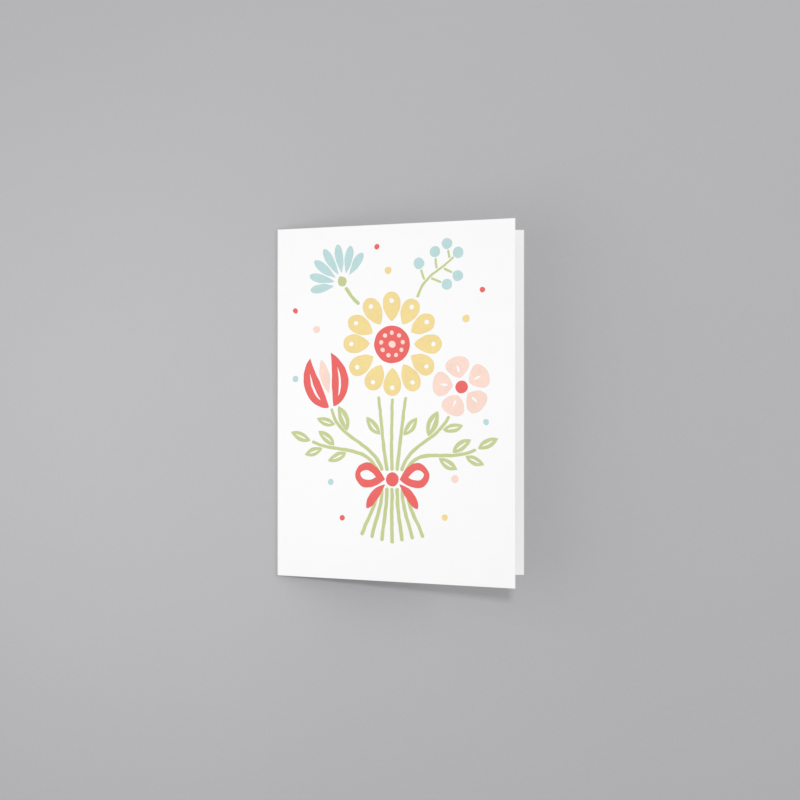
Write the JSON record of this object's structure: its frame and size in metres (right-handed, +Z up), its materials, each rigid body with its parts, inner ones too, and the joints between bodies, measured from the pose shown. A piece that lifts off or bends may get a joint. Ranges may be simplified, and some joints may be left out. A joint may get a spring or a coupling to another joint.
{
  "type": "greeting card",
  "caption": "Single-fold greeting card of thick white stock, printed on its cover and blank inside, lying on its back panel with the cover sprung open.",
  "frame": {"origin": "middle of the card's footprint, on the surface that its back panel lies on", "axes": "+X from the fold to the free edges, +Y up the page along the fold, +Z up from the surface"},
  "size_m": [0.127, 0.1778, 0.0467],
  "materials": {
    "card_stock": "matte",
    "yellow_ink": "matte",
    "coral_ink": "matte",
    "blush_ink": "matte",
    "teal_ink": "matte",
    "green_ink": "matte"
  },
  "bodies": {
    "root": {"folded_card": "card_stock"}
  },
  "joints": []
}
